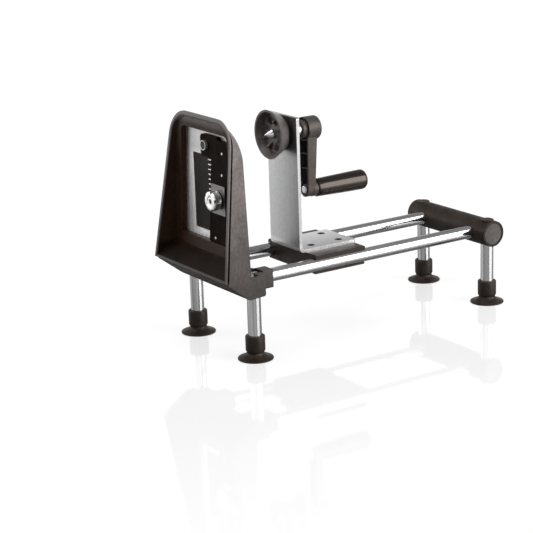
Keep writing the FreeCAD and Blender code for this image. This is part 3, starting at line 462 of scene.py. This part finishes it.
# %% Dress the solids
FEET = ("front_foot_near", "front_foot_far", "rear_foot_near", "rear_foot_far")
LEGS = ("front_leg_near", "front_leg_far", "rear_leg_near", "rear_leg_far")
SMALL_STEEL = (
    "comb_rivets", "back_screws", "rail_pins", "spindle_bush", "bush_nut", "spindle", "drive_pin",
    "hub_washer", "hub_screw", "handle_bolt", "handle_nut",
)
made_of = {
    "casing_black": ("blade_housing",),
    "tray_black": ("front_tray",),
    "holder_black": ("comb_holder",),
    "block_black": ("slide_block",),
    "bar_black": ("rear_crossbar", "leg_top_caps"),
    "cap_black_painted_light": ("crossbar_end_caps",),
    "wheel_black": ("drive_wheel",),
    "arm_black": ("crank_arm",),
    "grip_gloss": ("handle_grip", "grip_plug"),
    "rail_steel": ("rail_near", "rail_far"),
    "leg_steel": LEGS,
    "bracket_steel": ("crank_bracket",),
    "blade_steel": ("slicing_blade", "comb_blade", "coring_tube"),
    "clamp_steel": ("clamp_plate", "knob_washer"),
    "fastener_steel": SMALL_STEEL,
    "black_painted_shade": ("bracket_screws", "clamp_stud"),
    "nickel": ("clamp_knob",),
    "foot_rubber": FEET,
}
for finish, names in made_of.items():
    for name in names:
        nodes[name].data.materials.clear()
        nodes[name].data.materials.append(finishes[finish])
dressed = sum(len(names) for names in made_of.values())
print("dressed", dressed, "of", len(nodes), "solids")

# %% [markdown]
# ## Pieces with softer forms
# A few pieces are rounder than a bare solid shows: the suction feet flare out in a
# hollow curve, the grip bulges a little, and the clamp knob has broad, soft lobes.
# A stack of cylinders and cones would leave a step at every change. So all of them
# start as one ring of points. The ring is drawn out from place to place along an
# axis and widened or narrowed on the way, which is turning on a lathe.

# %% A lathe made of rings
ALONG_X = Vector((1.0, 0.0, 0.0))
ALONG_Z = Vector((0.0, 0.0, 1.0))
UPRIGHT = (0.0, 0.0, 0.0)
LYING = (0.0, math.pi / 2, 0.0)
SEAM = 0.000002


def choose_nothing():
    bpy.ops.object.select_all(action="DESELECT")


def choose_only(piece):
    """Selects one piece and makes it the active one, which operators act on."""
    choose_nothing()
    piece.select_set(True)
    bpy.context.view_layer.objects.active = piece


def first_ring(name, centre, axis, radius, corners):
    """A ring of points round the axis, left in edit mode with all of it selected."""
    choose_nothing()
    tilt = LYING if axis.x else UPRIGHT
    bpy.ops.mesh.primitive_circle_add(vertices=corners, radius=radius, location=centre, rotation=tilt)
    piece = bpy.context.active_object
    piece.name = name
    bpy.ops.object.transform_apply(location=True, rotation=True, scale=True)
    bpy.ops.object.mode_set(mode="EDIT")
    bpy.ops.mesh.select_all(action="SELECT")
    return piece


def turned_piece(name, centre, axis, profile, corners=96):
    """Draws a ring out along an axis, by a profile of (radius, way along the axis) pairs in mm."""
    steps = [(radius / 1000.0, way / 1000.0) for radius, way in profile]
    radius, way = steps[0]
    piece = first_ring(name, centre + axis * way, axis, radius, corners)
    for new_radius, new_way in steps[1:]:
        bpy.ops.mesh.extrude_region_move(TRANSFORM_OT_translate={"value": axis * (new_way - way)})
        share = new_radius / radius
        spread = [1.0 if part else share for part in axis]
        bpy.ops.transform.resize(value=spread, center_override=centre + axis * new_way)
        radius, way = new_radius, new_way
    bpy.ops.mesh.select_all(action="SELECT")
    bpy.ops.mesh.remove_doubles(threshold=SEAM)
    bpy.ops.mesh.fill_holes(sides=0)
    bpy.ops.mesh.normals_make_consistent(inside=False)
    bpy.ops.object.mode_set(mode="OBJECT")
    return piece


print("points closer than", SEAM * 1000.0, "mm become one")

# %% [markdown]
# ## Soft edges, and a place in the machine
# Here the rounds are real, because these pieces are seen close up: a bevel rounds
# every sharp edge and is then applied. The piece also has to move as the solid did.
# It rides on the same body and stands for the solid, which is hidden.

# %% Soften and hand in
def soften(piece, width, steps, sharp=math.radians(28.0), smooth=math.radians(35.0)):
    """Rounds the edges that are sharper than one angle, and shades what is flatter than another smooth."""
    choose_only(piece)
    bevel = piece.modifiers.new("soft_edges", "BEVEL")
    bevel.width = width
    bevel.segments = steps
    bevel.limit_method = "ANGLE"
    bevel.angle_limit = sharp
    bpy.ops.object.modifier_apply(modifier="soft_edges")
    bpy.ops.object.shade_smooth_by_angle(angle=smooth)


def hand_in(piece, body, node, finish):
    """Gives a piece its finish, lets it ride on its body and puts it in the solid's place."""
    piece.data.materials.clear()
    piece.data.materials.append(finishes[finish])
    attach(piece, body)
    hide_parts(node)


print("pieces can be softened and handed in")

# %% [markdown]
# ## Suction feet
# A suction foot is one piece of rubber: a thin cup that flares out to a rim, a neck,
# and a sleeve that holds the leg. Four feet are alike, so one profile serves them
# all. It starts under the dome, runs out to the rim, comes back up the flare to the
# neck, and goes over the sleeve into the bore.

# %% Profile of a foot
TUBE_BORE = 7.02
SLEEVE = 10.0
SLEEVE_TOP = 24.5
CHAMFER = 0.8
LEG_STOP = 8.0
RIM = 18.2
POLE = 0.4
UNDER_DOME = [(POLE, 3.6), (6.0, 3.3), (11.0, 2.3), (14.6, 0.9), (16.2, 0.0), (RIM, 0.0)]
FLARE = [(RIM, 1.1), (17.3, 1.5), (15.4, 2.0), (13.2, 2.8), (11.3, 3.8), (9.9, 4.9), (9.1, 5.9)]
NECK = [(8.9, 6.7), (9.0, 7.6), (9.5, 8.4), (SLEEVE, 8.9)]
SLEEVE_END = [(SLEEVE, SLEEVE_TOP - CHAMFER), (SLEEVE - CHAMFER, SLEEVE_TOP), (TUBE_BORE, SLEEVE_TOP)]
BORE = [(TUBE_BORE, LEG_STOP), (POLE, LEG_STOP)]
FOOT = UNDER_DOME + FLARE + NECK + SLEEVE_END + BORE
print("a foot has", len(FOOT), "rings and is", 2 * RIM, "mm wide")

# %% Suction feet
for name in FEET:
    low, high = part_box(name)
    middle = Vector(((low[0] + high[0]) / 2, (low[1] + high[1]) / 2, low[2]))
    foot = turned_piece("soft_" + name, middle, ALONG_Z, FOOT)
    soften(foot, width=0.0003, steps=2)
    hand_in(foot, "frame", name, "foot_rubber")
    print(name, "has", len(foot.data.polygons), "faces")

# %% [markdown]
# ## Grip
# The grip is turned from a rod. It widens towards its end and bulges slightly on the
# way, so the long highlight on it bends, and its rounded end holds the well that the
# plug closes. A cone with a rounded end would keep the highlight straight, so the
# side follows a formula instead: an even widening plus half a wave.

# %% Profile of the grip
grip_low, grip_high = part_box("handle_grip")
LENGTH = (grip_high[0] - grip_low[0]) * 1000.0
BOLT_BORE = 3.06
WELL = 7.0
WELL_DEPTH = 11.0
SIDE_START = 1.0
END_ROUND = 4.4
SIDE_LENGTH = LENGTH - SIDE_START - END_ROUND
NARROW = 9.42
WIDENING = 1.28
BULGE = 0.12
RINGS = 12

GRIP = [(BOLT_BORE, 0.0), (8.5, 0.0), (9.1, 0.35), (9.4, SIDE_START)]
for step in range(1, RINGS + 1):
    share = step / RINGS
    bulge = BULGE * math.sin(math.pi * share)
    GRIP.append((NARROW + WIDENING * share + bulge, SIDE_START + SIDE_LENGTH * share))
for radius, before_end in ((10.6, 3.1), (10.25, 1.9), (9.6, 0.9), (8.6, 0.25), (7.6, 0.0), (WELL, 0.0)):
    GRIP.append((radius, LENGTH - before_end))
GRIP += [(WELL, LENGTH - WELL_DEPTH), (BOLT_BORE, LENGTH - WELL_DEPTH), (BOLT_BORE, 0.0)]
print("the grip is %.1f mm long, in %d rings" % (LENGTH, len(GRIP)))

# %% Grip
grip_start = Vector((grip_low[0], (grip_low[1] + grip_high[1]) / 2, (grip_low[2] + grip_high[2]) / 2))
grip = turned_piece("soft_handle_grip", grip_start, ALONG_X, GRIP)
soften(grip, width=0.0002, steps=2)
hand_in(grip, "handle", "handle_grip", "grip_gloss")
print("the grip has", len(grip.data.polygons), "faces")

# %% [markdown]
# ## Clamp knob
# The knob is cast and plated, with five broad lobes that fingers push against. The
# lobes could be drawn as an outline and raised, but the collar and the chamfers are
# round, so the knob is turned first. Then five round notches are cut along its rim,
# and the lobes are what is left between them.

# %% Turned blank of the knob
KNOB_RADIUS = 10.0
STUD_BORE = 2.56
KNOB_FACE = [(STUD_BORE, 0.8), (4.4, 0.8), (5.0, 0.0), (8.4, 0.0), (9.4, 0.4)]
KNOB_SIDE = [(KNOB_RADIUS, 1.4), (KNOB_RADIUS, 7.4)]
KNOB_COLLAR = [(9.0, 7.8), (8.6, 9.0), (STUD_BORE, 9.0), (STUD_BORE, 0.8)]
knob_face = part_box("clamp_knob")[0][0]
stud_low, stud_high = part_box("clamp_stud")
knob_front = Vector((knob_face, (stud_low[1] + stud_high[1]) / 2, (stud_low[2] + stud_high[2]) / 2))
knob = turned_piece("soft_clamp_knob", knob_front, ALONG_X, KNOB_FACE + KNOB_SIDE + KNOB_COLLAR, 120)
print("the blank has", len(knob.data.polygons), "faces")

# %% Cutters for the notches
LOBES = 5
NOTCH_RADIUS = 0.0024
NOTCH_DEPTH = 0.0018
NOTCH_LENGTH = 0.0084
NOTCH_MIDDLE = 0.0032
FIRST_NOTCH = 13.0

reach = KNOB_RADIUS / 1000.0 + NOTCH_RADIUS - NOTCH_DEPTH
cutters = []
for k in range(LOBES):
    turn = math.radians(FIRST_NOTCH + 360.0 / LOBES * k)
    spot = knob_front + Vector((NOTCH_MIDDLE, -reach * math.sin(turn), reach * math.cos(turn)))
    bpy.ops.mesh.primitive_cylinder_add(
        vertices=40, radius=NOTCH_RADIUS, depth=NOTCH_LENGTH, location=spot, rotation=LYING)
    cutters.append(bpy.context.active_object)
choose_only(cutters[0])
for cutter in cutters:
    cutter.select_set(True)
bpy.ops.object.join()
notches = bpy.context.active_object
print("notches:", LOBES)

# %% Knob with its lobes
choose_only(knob)
cut = knob.modifiers.new("notches", "BOOLEAN")
cut.operation = "DIFFERENCE"
cut.solver = "EXACT"
cut.object = notches
bpy.ops.object.modifier_apply(modifier="notches")
bpy.data.objects.remove(notches, do_unlink=True)
soften(knob, width=0.0003, steps=3)
hand_in(knob, "knob", "clamp_knob", "nickel")
print("the knob has", len(knob.data.polygons), "faces")

# %% [markdown]
# ## The table
# A product shot stands on a glossy white table that runs on without an edge. A
# bright floor would throw its light back at the object and wash out the dark
# undersides. So the table's own white is shown to the camera alone, and its matt
# layer, which takes the shadow, is a mid grey for everything else. Over both lies a
# gloss that grows at flat angles, as on lacquer, and shows a weak mirror image.

# %% White that only the camera sees
NEAR_LEVEL, FAR_LEVEL = 0.79, 0.95
NEAR_PLACE, FAR_PLACE = 0.3, 1.6
WHITE = (1.0, 1.0, 1.0, 1.0)


def shown_white(tree):
    """A glow for camera rays, a little weaker near the object, where the matt layer is lit most."""
    path = add_node(tree, "LightPath")
    place = add_node(tree, "TexCoord")
    away = calculated(tree, "VectorMath", "LENGTH", place.outputs["Object"])
    level = in_range(tree, away.outputs["Value"], NEAR_LEVEL, FAR_LEVEL, NEAR_PLACE, FAR_PLACE)
    shown = calculated(tree, "Math", "MULTIPLY", level, path.outputs["Is Camera Ray"])
    glow = add_node(tree, "Emission", Color=WHITE)
    tree.links.new(shown.outputs[0], glow.inputs["Strength"])
    return glow.outputs[0]


print("the table's white goes from", NEAR_LEVEL, "to", FAR_LEVEL)

# %% Table
MATT_GREY = (0.25, 0.25, 0.25, 1.0)
LACQUER = 1.42
TABLE_RADIUS = 12.0


def table_white():
    material = bpy.data.materials.new("table_white")
    material.use_nodes = True
    tree = material.node_tree
    tree.nodes.clear()
    matt = add_node(tree, "BsdfDiffuse", Color=MATT_GREY)
    own = add_node(tree, "AddShader")
    tree.links.new(matt.outputs[0], own.inputs[0])
    tree.links.new(shown_white(tree), own.inputs[1])
    gloss = add_node(tree, "BsdfGlossy", Color=WHITE, Roughness=0.05)
    fresnel = add_node(tree, "Fresnel", IOR=LACQUER)
    whole = add_node(tree, "MixShader")
    tree.links.new(fresnel.outputs[0], whole.inputs[0])
    tree.links.new(own.outputs[0], whole.inputs[1])
    tree.links.new(gloss.outputs[0], whole.inputs[2])
    out = add_node(tree, "OutputMaterial")
    tree.links.new(whole.outputs[0], out.inputs["Surface"])
    return material


choose_nothing()
bpy.ops.mesh.primitive_circle_add(vertices=96, radius=TABLE_RADIUS, fill_type="NGON")
table = bpy.context.active_object
table.name = "table"
table.data.materials.append(table_white())
print("table radius:", TABLE_RADIUS, "m")

# %% [markdown]
# ## Lamps
# Black plastic only shows its form where it mirrors something bright, so the big
# soft box stands on the side that the casing's wall and the crank arm face. A wide
# box above lights the tops, and a weak one on the other side opens the mouth. Small
# lamps would leave hard shadows, which a studio avoids. The boxes are hidden from
# the camera, so they show in no view.

# %% Lamps
def soft_box(name, place, target, size, power):
    """A square lamp of a size in metres and a power in watts, which faces a target."""
    lamp = bpy.data.lights.new(name, "AREA")
    lamp.shape = "SQUARE"
    lamp.size = size
    lamp.energy = power
    box = bpy.data.objects.new(name, lamp)
    box.location = place
    box.rotation_euler = (Vector(target) - Vector(place)).to_track_quat("-Z", "Y").to_euler()
    box.visible_camera = False
    bpy.context.scene.collection.objects.link(box)


soft_box("side_box", (1.0, -1.75, 0.78), target=(0.0, 0.0, 0.12), size=1.7, power=56.0)
soft_box("left_box", (-1.0, 1.3, 0.5), target=(0.0, 0.0, 0.1), size=1.2, power=6.0)
soft_box("top_box", (-0.6, 0.2, 1.8), target=(0.0, 0.0, 0.1), size=1.4, power=17.0)
print("three soft boxes")

# %% [markdown]
# ## Room
# Polished steel is only as good as what it mirrors. In an all-white room the tubes
# would vanish against the background. So the room looks different to each kind of
# ray: plain white to the camera, an even, weaker fill to dull surfaces, and to
# mirror-like ones a pattern with darker bands, which draw the edges of the tubes.

# %% What mirrors see
def room_pattern(tree):
    """White near the horizon. Above it, white towards -Y, grey towards +Y, and darker towards -X.

    Each range gives two levels, and the two places on the unit sphere between which they change.
    """
    place = add_node(tree, "TexCoord")
    parts = add_node(tree, "SeparateXYZ")
    tree.links.new(place.outputs["Generated"], parts.inputs[0])
    low = in_range(tree, parts.outputs["Z"], 1.0, 0.0, 0.3, 0.5)
    near = in_range(tree, parts.outputs["Y"], 1.0, 0.3, -0.6, -0.25)
    left = in_range(tree, parts.outputs["X"], 0.35, 1.0, -0.45, -0.05)
    upper = calculated(tree, "Math", "MULTIPLY", near, left)
    return calculated(tree, "Math", "MAXIMUM", low, upper.outputs[0]).outputs[0]


print("the pattern of the room is ready")

# %% Room
FILL = 0.34

room = bpy.data.worlds.new("room")
room.use_nodes = True
bpy.context.scene.world = room
tree = room.node_tree
tree.nodes.clear()
path = add_node(tree, "LightPath")
seen = add_node(tree, "Background", Color=WHITE, Strength=1.0)
fill = add_node(tree, "Background", Color=WHITE, Strength=FILL)
mirrored = add_node(tree, "Background", Color=WHITE)
tree.links.new(room_pattern(tree), mirrored.inputs["Strength"])
for_gloss = add_node(tree, "MixShader")
tree.links.new(path.outputs["Is Glossy Ray"], for_gloss.inputs[0])
tree.links.new(fill.outputs[0], for_gloss.inputs[1])
tree.links.new(mirrored.outputs[0], for_gloss.inputs[2])
for_eye = add_node(tree, "MixShader")
tree.links.new(path.outputs["Is Camera Ray"], for_eye.inputs[0])
tree.links.new(for_gloss.outputs[0], for_eye.inputs[1])
tree.links.new(seen.outputs[0], for_eye.inputs[2])
out = add_node(tree, "OutputWorld")
tree.links.new(for_eye.outputs[0], out.inputs["Surface"])
print("room is lit, with a fill of", FILL)

# %% [markdown]
# ## Camera
# A long lens from the front left, a little above the machine, looks along the
# rails. A tracking constraint would aim it, but not give it the slight roll that is
# part of its pose, so the camera's matrix is built from its three directions.

# %% Directions of the camera
AZIMUTH, PITCH, ROLL = (math.radians(angle) for angle in (-32.928, 15.918, -1.968))
LENS_PLACE = Vector((-1.01049, -1.424, 0.55773))

flat = math.cos(PITCH)
back = Vector((math.sin(AZIMUTH) * flat, -math.cos(AZIMUTH) * flat, math.sin(PITCH)))
level_right = (-back).cross(ALONG_Z).normalized()
level_up = level_right.cross(-back)
right = level_right * math.cos(ROLL) + level_up * math.sin(ROLL)
up = level_up * math.cos(ROLL) - level_right * math.sin(ROLL)
print("the camera stands %.2f m from the middle" % LENS_PLACE.length)

# %% Camera
FRAME_PX = 533
LENS_PX = 1705.0
SENSOR = 36.0

lens = bpy.data.cameras.new("camera")
lens.sensor_width = SENSOR
lens.lens = LENS_PX / FRAME_PX * SENSOR
lens.clip_start = 0.05
lens.clip_end = 60.0
camera = bpy.data.objects.new("camera", lens)
camera.matrix_world = Matrix.Translation(LENS_PLACE) @ Matrix((right, up, back)).transposed().to_4x4()
bpy.context.scene.collection.objects.link(camera)
bpy.context.scene.camera = camera
print("lens: %.1f mm" % lens.lens)

# %% [markdown]
# ## View transform
# The view transform is plain, so a colour shows as it was written.

# %% Finish
bpy.context.scene.view_settings.view_transform = "Standard"
